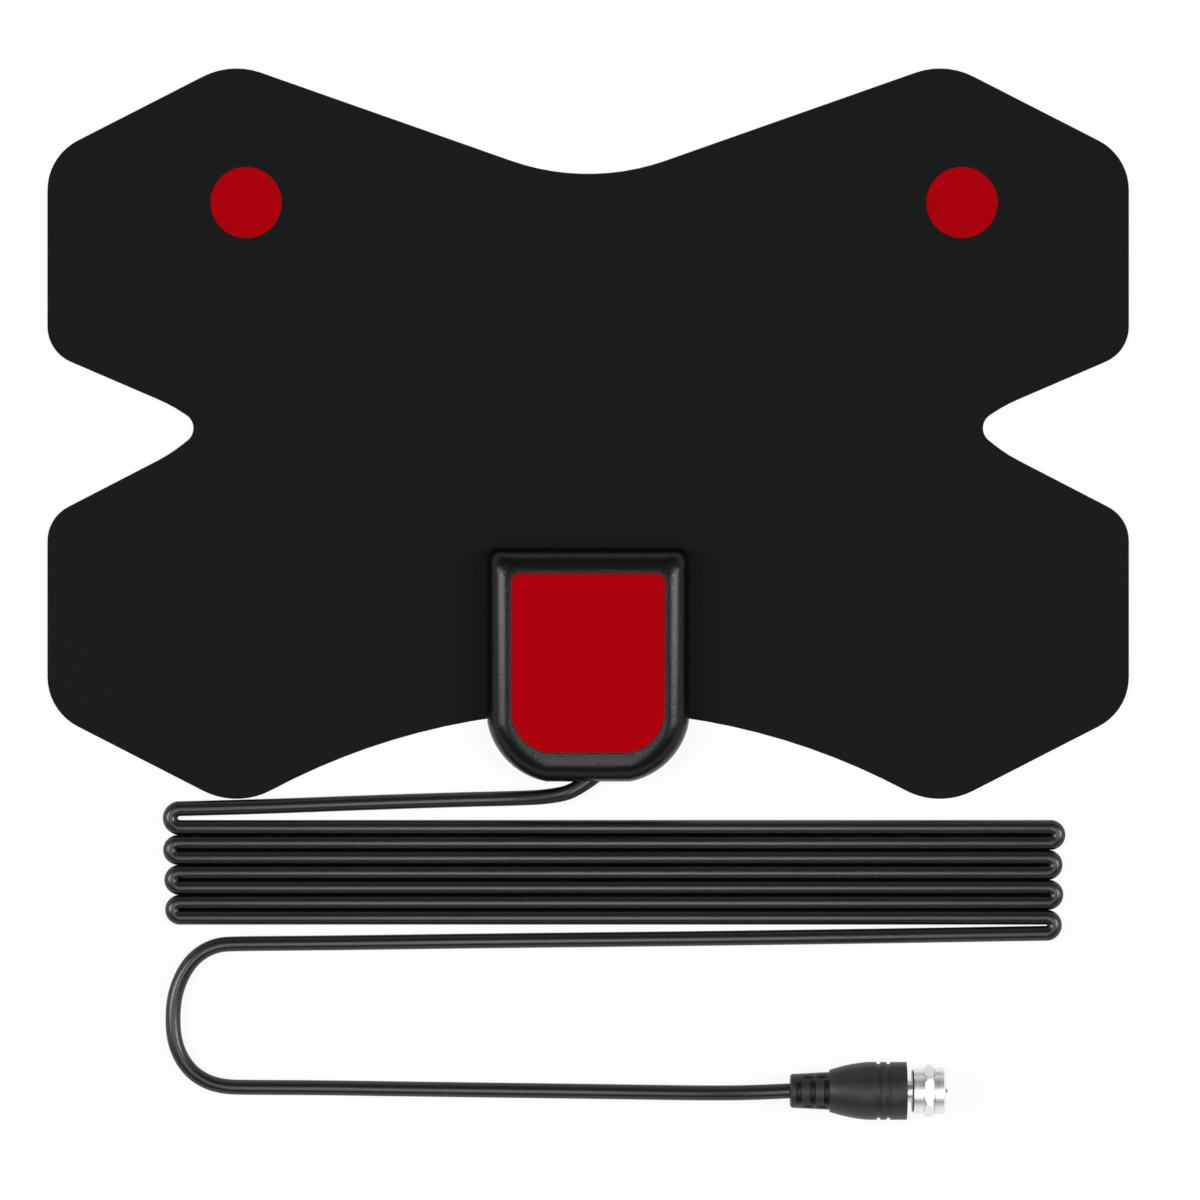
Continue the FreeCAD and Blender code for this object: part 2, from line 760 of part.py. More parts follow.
tail_end = Vector(size("plug_x"), -size("plug_y"), size("plug_z"))
tail_route = [
    Vector(size("hank_right_x"), -size("tail_start_y"), floor_z),
    Vector(76, -123, floor_z),
    Vector(27, -123.7, floor_z),
    Vector(-25, -124.25, floor_z),
    Vector(-58, -124.7, floor_z),
    Vector(-76, -124.88, floor_z),
    Vector(-85.2, -124.95, floor_z),
    Vector(-91, -125.15, floor_z),
    Vector(-96, -127.8, floor_z),
    Vector(-99.4, -132.3, floor_z),
    Vector(-101.6, -138.7, floor_z),
    Vector(-101.7, -147.3, floor_z),
    Vector(-99.7, -153.2, floor_z),
    Vector(-96, -157.5, floor_z),
    Vector(-90.3, -160, floor_z),
    Vector(-82, -160.15, floor_z),
    Vector(-66, -160.2, floor_z),
    Vector(-36, -160.65, floor_z),
    Vector(0, -161.05, floor_z + 0.7),
    Vector(19, -161.25, floor_z + 1.9),
    Vector(30, -161.3, size("plug_z") - 2.3),
    Vector(40, -161.1, size("plug_z") - 0.7),
    tail_end,
]
cable_tail = tube("cable_tail", tail_route, cable)

# Hank: seven touching runs with round folds at both ends, drawn as one flat solid
RUNS = 7
hank = make_body("cable_hank")
sketch = make_sketch(hank, "hank_outline")
block_top = "- hank_first_run_y + run_pitch / 2"
first_fold = "( lead_end_y - cable_diameter / 2 )"
last_fold = "( tail_start_y + cable_diameter / 2 )"
fold_radius = "( run_pitch * run_pitch + fold_bulge * fold_bulge ) / ( 2 * fold_bulge )"


def wide_fold_radius(chord):
    return f"( ( {chord} / 2 ) * ( {chord} / 2 ) + fold_bulge * fold_bulge ) / ( 2 * fold_bulge )"


first_chord = f"( hank_first_run_y + run_pitch / 2 - {first_fold} )"
last_chord = f"( {last_fold} - hank_first_run_y - {RUNS - 1.5} * run_pitch )"
left_side = [("- hank_left_x", f"- {first_fold}", wide_fold_radius(first_chord))]
left_side += [("- hank_left_x", f"{block_top} - {n} * run_pitch", fold_radius) for n in range(1, RUNS - 1, 2)]
left_side += [("- hank_left_x", f"{block_top} - {RUNS} * run_pitch")]
right_side = [
    ("hank_right_x", f"{block_top} - {RUNS} * run_pitch"),
    ("hank_right_x", f"- {last_fold}", wide_fold_radius(last_chord)),
]
for n in range(RUNS - 1, 0, -2):
    right_side.append(("hank_right_x", f"{block_top} - {n} * run_pitch", fold_radius))
right_side += [("hank_right_x", block_top)]
draw_outline(sketch, left_side + right_side + [("- hank_left_x", block_top)])
pad(hank, sketch, "cable_diameter")
sketch = make_sketch(hank, "run_grooves", "YZ_Plane", "- hank_left_x")
for n in range(RUNS + 1):
    middle = f"{block_top} - {n} * run_pitch"
    near = f"{middle} + run_groove / 2"
    far = f"{middle} - run_groove / 2"
    bulge = "cable_diameter / 2"
    upper = f"{bulge} + run_web / 2"
    lower = f"{bulge} - run_web / 2"
    draw_outline(sketch, [(near, "cable_diameter", bulge), (middle, upper, bulge), (far, "cable_diameter")])
    draw_outline(sketch, [(far, "0", bulge), (middle, lower, bulge), (near, "0")])
pocket(hank, sketch, "hank_left_x + hank_right_x")


# Plug: pieces turned about the X axis, measured from the rear of the boot
def turned(label, profile):
    body = make_body(label)
    sketch = make_sketch(body, f"{label}_profile", "XZ_Plane")
    draw_outline(sketch, profile)
    revolve(body, sketch)
    place(body, "plug_x", "- plug_y", "plug_z")
    return body


SLOTS = 3
GROOVES = 2
relief_slope = "( relief_front_diameter - relief_rear_diameter ) / 2 / relief_length"
profile = [
    ("0", "0"),
    ("boot_length - post_socket_depth", "0"),
    ("boot_length - post_socket_depth", "post_rear_diameter / 2"),
    ("boot_length", "post_rear_diameter / 2"),
    ("boot_length", "boot_diameter / 2 - boot_edge", "boot_edge"),
    ("boot_length - boot_edge", "boot_diameter / 2"),
]
for n in reversed(range(GROOVES)):
    groove = f"boot_first_groove + {n} * boot_groove_pitch"
    profile += [
        (f"{groove} + boot_groove_width", "boot_diameter / 2"),
        (f"{groove} + boot_groove_width", "boot_diameter / 2 - boot_groove_depth"),
        (groove, "boot_diameter / 2 - boot_groove_depth"),
        (groove, "boot_diameter / 2"),
    ]
profile += [
    ("relief_length + boot_taper_length", "boot_diameter / 2", "boot_taper_radius"),
    ("relief_length", "boot_shoulder_diameter / 2"),
    ("relief_length", "relief_front_diameter / 2"),
    ("boot_edge", f"relief_rear_diameter / 2 + {relief_slope} * boot_edge", "boot_edge"),
    ("0", "relief_rear_diameter / 2 - boot_edge"),
]
boot = turned("plug_boot", profile)
for sign, upward in (("1", True), ("-1", False)):
    sketch = make_sketch(boot, "relief_slots", height=f"{sign} * relief_core_diameter / 2")
    for n in range(SLOTS):
        slot = f"relief_first_slot + {n} * relief_slot_pitch"
        draw_box(sketch, slot, f"{slot} + relief_slot", "- relief_slot_half", "relief_slot_half")
    pocket(boot, sketch, "relief_front_diameter / 2", upward)
    sketch = make_sketch(boot, "relief_side_slots", height=f"{sign} * relief_side_floor")
    for n in range(SLOTS - 1):
        slot = f"relief_first_side_slot + {n} * relief_slot_pitch"
        draw_box(sketch, slot, f"{slot} + relief_side_slot", "relief_side_inner", "relief_side_outer")
        draw_box(sketch, slot, f"{slot} + relief_side_slot", "- relief_side_outer", "- relief_side_inner")
    pocket(boot, sketch, "relief_front_diameter / 2", upward)

post_start = "boot_length - post_socket_depth"
post_end = "boot_length + neck_length + flange_thickness"
post = turned(
    "plug_body",
    [
        (post_start, "insulator_diameter / 2 + insulator_fit"),
        (post_end, "insulator_diameter / 2 + insulator_fit"),
        (post_end, "flange_diameter / 2"),
        ("boot_length + neck_length", "flange_diameter / 2"),
        ("boot_length + neck_length", "neck_diameter / 2"),
        ("boot_length", "neck_diameter / 2"),
        ("boot_length", "post_rear_diameter / 2"),
        (post_start, "post_rear_diameter / 2"),
    ],
)
insulator = turned(
    "plug_insulator",
    [
        (post_start, "pin_diameter / 2 + insulator_fit"),
        (post_end, "pin_diameter / 2 + insulator_fit"),
        (post_end, "insulator_diameter / 2"),
        (post_start, "insulator_diameter / 2"),
    ],
)
pin_end = "nut_start + nut_length + pin_overhang"
pin = turned(
    "plug_pin",
    [
        (f"{post_end} - pin_depth", "0"),
        (pin_end, "0"),
        (f"{pin_end} - pin_diameter / 4", "pin_diameter / 2"),
        (f"{post_end} - pin_depth", "pin_diameter / 2"),
    ],
)


def turn_out(body, sketch):
    """Cut a sketch of the XZ plane out of the body, turned about the X axis."""
    before = body.Shape.Volume
    feature = body.newObject("PartDesign::Groove", "Groove")
    feature.Profile = sketch
    feature.ReferenceAxis = (sketch, ["H_Axis"])
    feature.Angle = 360
    doc.recompute()
    if body.Shape.Volume >= before:
        raise ValueError(f"{body.Label}: {sketch.Label} cuts nothing")


# Coupling nut: two round collars and a narrow hexagon between them, bored with a lip at the rear
nut_end = "nut_start + nut_length"
nut = turned(
    "coupling_nut",
    [
        ("nut_start", "0"),
        (nut_end, "0"),
        (nut_end, "nut_front_diameter / 2 - nut_chamfer"),
        (f"{nut_end} - nut_chamfer", "nut_front_diameter / 2"),
        ("nut_start + nut_hex_start + nut_hex_length", "nut_front_diameter / 2"),
        ("nut_start + nut_hex_start", "nut_rear_diameter / 2"),
        ("nut_start + nut_chamfer", "nut_rear_diameter / 2"),
        ("nut_start", "nut_rear_diameter / 2 - nut_chamfer"),
    ],
)
HEX_SIDES = 6
sketch = make_sketch(nut, "nut_hexagon", "YZ_Plane", "nut_start + nut_hex_start")
hexagon = []
for n in range(HEX_SIDES):
    turn = 2 * math.pi * n / HEX_SIDES
    reach = 1 / math.cos(math.pi / HEX_SIDES) / 2
    hexagon.append((f"{reach * math.cos(turn):.9f} * nut_hex", f"{reach * math.sin(turn):.9f} * nut_hex"))
draw_outline(sketch, hexagon)
pad(nut, sketch, "nut_hex_length")
sketch = make_sketch(nut, "nut_hex_bevels", "XZ_Plane")
hex_start = "nut_start + nut_hex_start"
hex_end = "nut_start + nut_hex_start + nut_hex_length"
crown = "nut_hex / 2 + nut_hex_crown"
beyond = "nut_hex / 2 + nut_hex_crown + 2 * nut_hex_bevel"
for edge, inward in ((hex_start, "+"), (hex_end, "-")):
    draw_outline(sketch, [(edge, crown), (f"{edge} {inward} nut_hex_bevel", beyond), (edge, beyond)])
turn_out(nut, sketch)
sketch = make_sketch(nut, "nut_bore_profile", "XZ_Plane")
draw_outline(
    sketch,
    [
        ("nut_start", "0"),
        (nut_end, "0"),
        (nut_end, "nut_bore / 2"),
        ("nut_start + nut_lip", "nut_bore / 2"),
        ("nut_start + nut_lip", "neck_diameter / 2 + nut_running_gap"),
        ("nut_start", "neck_diameter / 2 + nut_running_gap"),
    ],
)
turn_out(nut, sketch)

PIECES = [
    back_sheet, *foils, front_sheet, left_dot, right_dot,
    tape, rear_cover, front_cover, label_plate, cover_screws,
    board, board_screws, balun, chip_parts, contact_studs, relief, coax_core,
    cable_lead, hank, cable_tail,
    boot, post, insulator, pin, nut,
]

doc.recompute()
for thing in doc.Objects:
    if "Invalid" in thing.State or "Error" in thing.State:
        raise ValueError(f"{thing.Label} failed: {thing.State}")
for piece in PIECES:
    if piece.Shape.isNull() or not piece.Shape.isValid():
        raise ValueError(f"{piece.Label} has no valid shape")
os.makedirs("parts", exist_ok=True)
for piece in PIECES:
    piece.Shape.exportStep(f"parts/{piece.Label}.step")
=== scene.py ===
import math

import bmesh
import bpy
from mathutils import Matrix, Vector


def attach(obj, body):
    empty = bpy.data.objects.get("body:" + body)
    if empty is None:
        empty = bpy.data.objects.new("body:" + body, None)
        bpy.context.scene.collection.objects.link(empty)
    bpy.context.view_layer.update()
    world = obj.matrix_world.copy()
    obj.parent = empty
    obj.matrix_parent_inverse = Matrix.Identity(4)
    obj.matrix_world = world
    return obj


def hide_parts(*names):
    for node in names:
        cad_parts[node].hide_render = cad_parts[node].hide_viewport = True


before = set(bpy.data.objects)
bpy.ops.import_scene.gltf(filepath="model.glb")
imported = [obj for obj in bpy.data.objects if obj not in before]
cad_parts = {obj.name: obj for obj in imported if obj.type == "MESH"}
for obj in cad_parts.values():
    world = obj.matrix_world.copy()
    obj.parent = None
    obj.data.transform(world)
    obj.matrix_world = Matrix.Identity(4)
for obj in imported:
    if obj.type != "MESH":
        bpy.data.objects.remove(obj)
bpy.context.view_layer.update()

MM = 0.001


# Panel: two black PET sheets, laminated round the foil and die cut to an X with four blunt arms.
# The calendered sheet has a fine even grain, so it is matt and shows no reflections.
def linear(code):
    """An sRGB hex colour as linear RGBA."""
    shares = [int(code[place:place + 2], 16) / 255 for place in (1, 3, 5)]
    colour = [share / 12.92 if share <= 0.04045 else ((share + 0.055) / 1.055) ** 2.4 for share in shares]
    return colour + [1.0]


def new_material(name):
    material = bpy.data.materials.new(name)
    material.use_nodes = True
    material.node_tree.nodes.clear()
    return material


def add_node(owner, kind, inputs=(), **settings):
    """Add a node. An input takes a plain value, or a node with the name of one of its outputs."""
    made = owner.node_tree.nodes.new("ShaderNode" + kind)
    for name, setting in settings.items():
        setattr(made, name, setting)
    for socket, source in dict(inputs).items():
        if isinstance(source, tuple):
            owner.node_tree.links.new(source[0].outputs[source[1]], made.inputs[socket])
        else:
            made.inputs[socket].default_value = source
    return made


def dress(material, *names):
    """Give CAD nodes a material."""
    for name in names:
        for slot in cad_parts[name].material_slots:
            slot.material = material


PET_GRAIN = 0.8 * MM
pet = new_material("PET sheet")
place = add_node(pet, "TexCoord")
grain = add_node(pet, "TexNoise", {"Vector": (place, "Object"), "Scale": 1 / PET_GRAIN, "Detail": 3.0})
tone = add_node(pet, "ValToRGB", {"Fac": (grain, "Fac")})
tone.color_ramp.elements[0].color = linear("#131313")
tone.color_ramp.elements[1].color = linear("#181818")
relief = add_node(pet, "Bump", {"Height": (grain, "Fac"), "Strength": 0.25, "Distance": 0.05 * MM})
surface = add_node(pet, "BsdfPrincipled", {
    "Base Color": (tone, "Color"),
    "Normal": (relief, "Normal"),
    "Roughness": 0.62,
    "IOR": 1.57,
    "Specular IOR Level": 0.04,
})
add_node(pet, "OutputMaterial", {"Surface": (surface, "BSDF")})
dress(pet, "back_sheet", "front_sheet")


# Radiator: two halves of rolled aluminium foil between the sheets, cut with a narrow split.
# Rolling leaves fine lines along the strip.
FOIL_LINE = 0.3 * MM
foil = new_material("rolled aluminium foil")
place = add_node(foil, "TexCoord")
stretch = add_node(foil, "Mapping", {"Vector": (place, "Object"), "Scale": [0.05, 1.0, 1.0]})
lines = add_node(foil, "TexNoise", {"Vector": (stretch, "Vector"), "Scale": 1 / FOIL_LINE, "Detail": 2.0})
gloss = add_node(foil, "MapRange", {"Value": (lines, "Fac"), "To Min": 0.2, "To Max": 0.4})
surface = add_node(foil, "BsdfPrincipled", {
    "Base Color": linear("#E6E7E8"),
    "Metallic": 1.0,
    "Roughness": (gloss, "Result"),
})
add_node(foil, "OutputMaterial", {"Surface": (surface, "BSDF")})
dress(foil, "left_foil_element", "right_foil_element")


# Marker discs: two red cast vinyl stickers on the upper arms, punched out and pressed on.
# Cast vinyl is even in colour, with a low sheen.
VINYL_GRAIN = 0.25 * MM
vinyl = new_material("cast vinyl")
place = add_node(vinyl, "TexCoord")
grain = add_node(vinyl, "TexNoise", {"Vector": (place, "Object"), "Scale": 1 / VINYL_GRAIN, "Detail": 2.0})
tone = add_node(vinyl, "ValToRGB", {"Fac": (grain, "Fac")})
tone.color_ramp.elements[0].color = linear("#A2000A")
tone.color_ramp.elements[1].color = linear("#A8000B")
relief = add_node(vinyl, "Bump", {"Height": (grain, "Fac"), "Strength": 0.1, "Distance": 0.01 * MM})
surface = add_node(vinyl, "BsdfPrincipled", {
    "Base Color": (tone, "Color"),
    "Normal": (relief, "Normal"),
    "Roughness": 0.55,
    "IOR": 1.53,
    "Specular IOR Level": 0.01,
})
add_node(vinyl, "OutputMaterial", {"Surface": (surface, "BSDF")})
dress(vinyl, "left_marker_dot", "right_marker_dot")


# Adhesive pad: a sheet of grey acrylic foam tape that holds the housing to the panel.
# It is die cut, and its fine cells show as a mottle.
FOAM_CELL = 0.4 * MM
foam = new_material("acrylic foam tape")
place = add_node(foam, "TexCoord")
cells = add_node(foam, "TexVoronoi", {"Vector": (place, "Object"), "Scale": 1 / FOAM_CELL})
tone = add_node(foam, "ValToRGB", {"Fac": (cells, "Distance")})
tone.color_ramp.elements[0].color = linear("#8E8E8A")
tone.color_ramp.elements[1].color = linear("#A9A9A4")
relief = add_node(foam, "Bump", {"Height": (cells, "Distance"), "Strength": 0.4, "Distance": 0.05 * MM})
surface = add_node(foam, "BsdfPrincipled", {
    "Base Color": (tone, "Color"),
    "Normal": (relief, "Normal"),
    "Roughness": 0.9,
    "IOR": 1.48,
})
add_node(foam, "OutputMaterial", {"Surface": (surface, "BSDF")})
dress(foam, "adhesive_pad")


# Housing: two ABS mouldings, screwed together and stuck to the sheet with a foam tape.
# The front one has a wide round rim; the spark-eroded mould gives its satin face a fine even pebble.
def shield(half, top, bottom, top_radius, corner, low_radius):
    """The outline of a shield. Arcs of low_radius round off bottom corners of the size of corner."""
    spread = math.asin(corner / math.sqrt(2) / low_radius)
    inward = math.sqrt(low_radius * low_radius - corner * corner / 2) / math.sqrt(2)
    low_centre = (half - corner / 2 - inward, bottom + corner / 2 + inward)
    top_centre = (half - top_radius, top - top_radius)
    arcs = [
        (top_centre, top_radius, math.pi / 2, 0),
        (low_centre, low_radius, spread - math.pi / 4, -spread - math.pi / 4),
    ]
    right = []
    for (x, y), radius, first, last in arcs:
        for step in range(ARC_STEPS + 1):
            turn = first + (last - first) * step / ARC_STEPS
            right.append((x + radius * math.cos(turn), y + radius * math.sin(turn)))
    return right + [(-x, y) for x, y in reversed(right)]


def join_rows(shape, rows):
    """Faces between closed rows of points that follow each other."""
    rings = [[shape.verts.new(Vector(point) * MM) for point in row] for row in rows]
    for ring, after in zip(rings, rings[1:]):
        for place, corner in enumerate(ring):
            shape.faces.new((ring[place - 1], corner, after[place], after[place - 1]))
    return rings


def add_piece(name, shape, material, body, node, crease=28):
    """Make an object of a mesh. It rides on a body and stands in for a CAD node."""
    bmesh.ops.recalc_face_normals(shape, faces=shape.faces)
    mesh = bpy.data.meshes.new(name)
    shape.to_mesh(mesh)
    shape.free()
    mesh.materials.append(material)
    mesh.shade_smooth()
    mesh.set_sharp_from_angle(angle=math.radians(crease))
    piece = bpy.data.objects.new(name, mesh)
    bpy.context.scene.collection.objects.link(piece)
    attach(piece, body)
    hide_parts(node)
    return piece


ARC_STEPS = 12
RIM_STEPS = 10
RIM = 5.5
COVER_BOTTOM = -85.2
COVER = (24.65, -28.1, COVER_BOTTOM, 3.2, 14.4, 18.2)
COVER_FOOT = 0.7
COVER_TOP = 10.2
WALL = 2
WALL_RETURN = 1.2
EDGE_BREAK = 0.1
LABEL = (18.7, -34.4, -78, 2, 10, 10)
LABEL_FLOOR = 9.6
LABEL_FIT = 0.15


def cover_row(inset, z):
    """The cover's outline, moved inwards. Its top corners keep their radius."""
    half, top, bottom, top_radius, corner, low_radius = COVER
    outline = shield(
        half - inset, top - inset, bottom + inset,
        top_radius, corner - inset, low_radius - inset,
    )
    return [(x, y, z) for x, y in outline]


def label_row(growth, z):
    """The label's outline, moved outwards."""
    half, top, bottom, top_radius, corner, low_radius = LABEL
    outline = shield(
        half + growth, top + growth, bottom - growth,
        top_radius + growth, corner + growth, low_radius + growth,
    )
    return [(x, y, z) for x, y in outline]


rows = [
    cover_row(WALL, COVER_FOOT + WALL_RETURN),
    cover_row(WALL, COVER_FOOT),
    cover_row(EDGE_BREAK, COVER_FOOT),
    cover_row(0, COVER_FOOT + EDGE_BREAK),
]
for step in range(RIM_STEPS + 1):
    turn = math.pi / 2 * step / RIM_STEPS
    rows.append(cover_row(RIM * (1 - math.cos(turn)), COVER_TOP - RIM * (1 - math.sin(turn))))
rows += [
    label_row(LABEL_FIT + EDGE_BREAK, COVER_TOP),
    label_row(LABEL_FIT, COVER_TOP - EDGE_BREAK),
    label_row(LABEL_FIT, LABEL_FLOOR),
]
shape = bmesh.new()
shape.faces.new(join_rows(shape, rows)[-1])

ABS_PEBBLE = 0.5 * MM
abs_black = new_material("moulded ABS")
place = add_node(abs_black, "TexCoord")
pebble = add_node(abs_black, "TexNoise", {
    "Vector": (place, "Object"),
    "Scale": 1 / ABS_PEBBLE,
    "Detail": 2.0,
})
gloss = add_node(abs_black, "MapRange", {"Value": (pebble, "Fac"), "To Min": 0.22, "To Max": 0.3})
relief = add_node(abs_black, "Bump", {"Height": (pebble, "Fac"), "Strength": 0.3, "Distance": 0.18 * MM})
surface = add_node(abs_black, "BsdfPrincipled", {
    "Base Color": linear("#070707"),
    "Normal": (relief, "Normal"),
    "Roughness": (gloss, "Result"),
    "IOR": 1.54,
    "Specular IOR Level": 0.25,
})
add_node(abs_black, "OutputMaterial", {"Surface": (surface, "BSDF")})
add_piece("cover_moulding", shape, abs_black, "antenna", "front_cover")
dress(abs_black, "rear_cover")


# Label inlay: a thin red plate, punched from the same vinyl as the discs, set in a recess of the cover.
# Its edge is broken a little, so that it shows a fine line of shadow all round.
LABEL_TOP = 10.1
LABEL_BREAK = 0.06
shape = bmesh.new()
rings = join_rows(shape, [
    label_row(0, LABEL_FLOOR),
    label_row(0, LABEL_TOP - LABEL_BREAK),
    label_row(-LABEL_BREAK, LABEL_TOP),
])
shape.faces.new(rings[0])
shape.faces.new(rings[-1])
add_piece("label_inlay", shape, vinyl, "antenna", "label_plate")


# Screws: small steel screws, cold headed and zinc plated, that close the housing and hold the board.
# The plating has a bluish grey tone, a little cloudy.
ZINC_CLOUD = 0.9 * MM
zinc = new_material("zinc-plated steel")
place = add_node(zinc, "TexCoord")
cloud = add_node(zinc, "TexNoise", {"Vector": (place, "Object"), "Scale": 1 / ZINC_CLOUD, "Detail": 3.0})
tone = add_node(zinc, "ValToRGB", {"Fac": (cloud, "Fac")})
tone.color_ramp.elements[0].color = linear("#A7AAAF")
tone.color_ramp.elements[1].color = linear("#C3C6CA")
gloss = add_node(zinc, "MapRange", {"Value": (cloud, "Fac"), "To Min": 0.25, "To Max": 0.4})
surface = add_node(zinc, "BsdfPrincipled", {
    "Base Color": (tone, "Color"),
    "Metallic": 1.0,
    "Roughness": (gloss, "Result"),
})
add_node(zinc, "OutputMaterial", {"Surface": (surface, "BSDF")})
dress(zinc, "cover_screws", "board_screws")


# Circuit board: glass-fibre laminate with green lacquer that matches the foil to the cable.
# The glass weave shows faintly through the lacquer.
WEAVE = 0.9 * MM
laminate = new_material("lacquered FR-4")
place = add_node(laminate, "TexCoord")
weave = add_node(laminate, "TexChecker", {
    "Vector": (place, "Object"),
    "Color1": linear("#0F5A2C"),
    "Color2": linear("#136634"),
    "Scale": 1 / WEAVE,
})
surface = add_node(laminate, "BsdfPrincipled", {
    "Base Color": (weave, "Color"),
    "Roughness": 0.35,
    "IOR": 1.55,
})
add_node(laminate, "OutputMaterial", {"Surface": (surface, "BSDF")})
dress(laminate, "circuit_board")


# Parts on the board: a sintered ferrite balun and four small ceramic chips, soldered down.
# Sintered powder is dark grey and dull, with a grain that can just be seen.
FERRITE_GRAIN = 0.2 * MM
ferrite = new_material("sintered ferrite")
place = add_node(ferrite, "TexCoord")
grain = add_node(ferrite, "TexNoise", {
    "Vector": (place, "Object"),
    "Scale": 1 / FERRITE_GRAIN,
    "Detail": 4.0,
})
tone = add_node(ferrite, "ValToRGB", {"Fac": (grain, "Fac")})
tone.color_ramp.elements[0].color = linear("#2E2D30")
tone.color_ramp.elements[1].color = linear("#454448")
surface = add_node(ferrite, "BsdfPrincipled", {"Base Color": (tone, "Color"), "Roughness": 0.7, "IOR": 1.6})
add_node(ferrite, "OutputMaterial", {"Surface": (surface, "BSDF")})
dress(ferrite, "balun_transformer", "chip_parts")


# Contact studs: turned brass studs that lead from the foil halves to the board.
# Turning leaves fine rings and the brass has dulled a little.
STUD_RING = 0.15 * MM
brass = new_material("turned brass")
place = add_node(brass, "TexCoord")
stretch = add_node(brass, "Mapping", {"Vector": (place, "Object"), "Scale": [0.05, 0.05, 1.0]})
rings = add_node(brass, "TexNoise", {"Vector": (stretch, "Vector"), "Scale": 1 / STUD_RING, "Detail": 2.0})
gloss = add_node(brass, "MapRange", {"Value": (rings, "Fac"), "To Min": 0.2, "To Max": 0.4})
surface = add_node(brass, "BsdfPrincipled", {
    "Base Color": linear("#D0A85C"),
    "Metallic": 1.0,
    "Roughness": (gloss, "Result"),
})
add_node(brass, "OutputMaterial", {"Surface": (surface, "BSDF")})
dress(brass, "contact_studs")


# Cable: thin round coaxial cable with a black PVC jacket, extruded smooth.
# It leaves the housing at a slant, is folded into a flat hank and goes round to the plug.
# The jacket's smooth skin shows one soft line of light along a near-black cord.
CABLE = 3.68
FLOOR = CABLE / 2
EXIT = Vector((0.2, COVER_BOTTOM, 4.4))
EXIT_SLANT = math.radians(40)
INSIDE_LENGTH = 6.6
STRAIGHT_LENGTH = 3.2
exit_way = Vector((-math.cos(EXIT_SLANT), -math.sin(EXIT_SLANT), 0))
lead = [
    EXIT - exit_way * INSIDE_LENGTH,
    EXIT + exit_way * STRAIGHT_LENGTH,
    (-9.5, -89.0, 2.9),
    (-19, -89.4, FLOOR),
    (-34, -89.75, FLOOR),
    (-58, -90.55, FLOOR),
    (-80, -91.4, FLOOR),
]
RUNS = 7
RUN_PITCH = 3.66
TOP_RUN = -96.5
FIRST_LINE = -91.9
LAST_LINE = -122.4
hank_lines = [FIRST_LINE] + [TOP_RUN - RUN_PITCH * run for run in range(RUNS)] + [LAST_LINE]
hank_ends = [-100.0, 113.2, -100.4, 112.5, -100.1, 112.7, -99.9, 112.2]
FOLD_POINTS = 6
fold_step = math.pi / FOLD_POINTS
hank = []
for end, above, below in zip(hank_ends, hank_lines, hank_lines[1:]):
    side = math.copysign(1, end)
    middle = (above + below) / 2
    reach = (above - below) / 2 / math.cos(fold_step / 2)
    hank.append((end, above, FLOOR))
    for step in range(FOLD_POINTS):
        turn = math.pi / 2 - (step + 0.5) * fold_step
        hank.append((end + side * reach * math.cos(turn), middle + reach * math.sin(turn), FLOOR))
    hank.append((end, below, FLOOR))
BOOT_RADIUS = 7.05
PLUG = Vector((49.3, -160.6, BOOT_RADIUS))
tail = [
    (76, -123, FLOOR),
    (27, -123.7, FLOOR),
    (-25, -124.25, FLOOR),
    (-58, -124.7, FLOOR),
    (-76, -124.88, FLOOR),
    (-85.2, -124.95, FLOOR),
    (-91, -125.15, FLOOR),
    (-96, -127.8, FLOOR),
    (-99.4, -132.3, FLOOR),
    (-101.6, -138.7, FLOOR),
    (-101.7, -147.3, FLOOR),
    (-99.7, -153.2, FLOOR),
    (-96, -157.5, FLOOR),
    (-90.3, -160, FLOOR),
    (-82, -160.15, FLOOR),
    (-66, -160.2, FLOOR),
    (-36, -160.65, FLOOR),
    (0, -161.05, FLOOR + 0.7),
    (19, -161.25, FLOOR + 1.9),
    (30, -161.3, PLUG.z - 2.3),
    (40, -161.1, PLUG.z - 0.7),
    PLUG,
]
route = [Vector(point) * MM for point in lead + hank + tail]
line = bpy.data.curves.new("cable", "CURVE")
line.dimensions = "3D"
line.bevel_depth = CABLE / 2 * MM
line.bevel_resolution = 8
line.resolution_u = 8
line.use_fill_caps = True
spline = line.splines.new("NURBS")
spline.points.add(len(route) - 1)
for point, spot in zip(spline.points, route):
    point.co = (*spot, 1)
spline.order_u = 3
spline.use_endpoint_u = True
cable = bpy.data.objects.new("cable", line)
bpy.context.scene.collection.objects.link(cable)

JACKET_GRAIN = 0.6 * MM
jacket = new_material("extruded PVC")
place = add_node(jacket, "TexCoord")
grain = add_node(jacket, "TexNoise", {"Vector": (place, "Object"), "Scale": 1 / JACKET_GRAIN, "Detail": 2.0})
gloss = add_node(jacket, "MapRange", {"Value": (grain, "Fac"), "To Min": 0.28, "To Max": 0.34})
surface = add_node(jacket, "BsdfPrincipled", {
    "Base Color": linear("#040404"),
    "Roughness": 0.6,
    "IOR": 1.53,
    "Specular IOR Level": 0.0,
    "Coat Weight": 0.55,
    "Coat Roughness": (gloss, "Result"),
    "Coat IOR": 1.9,
})
add_node(jacket, "OutputMaterial", {"Surface": (surface, "BSDF")})
line.materials.append(jacket)
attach(cable, "antenna")
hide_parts("cable_lead", "cable_hank", "cable_tail")
dress(jacket, "strain_relief")


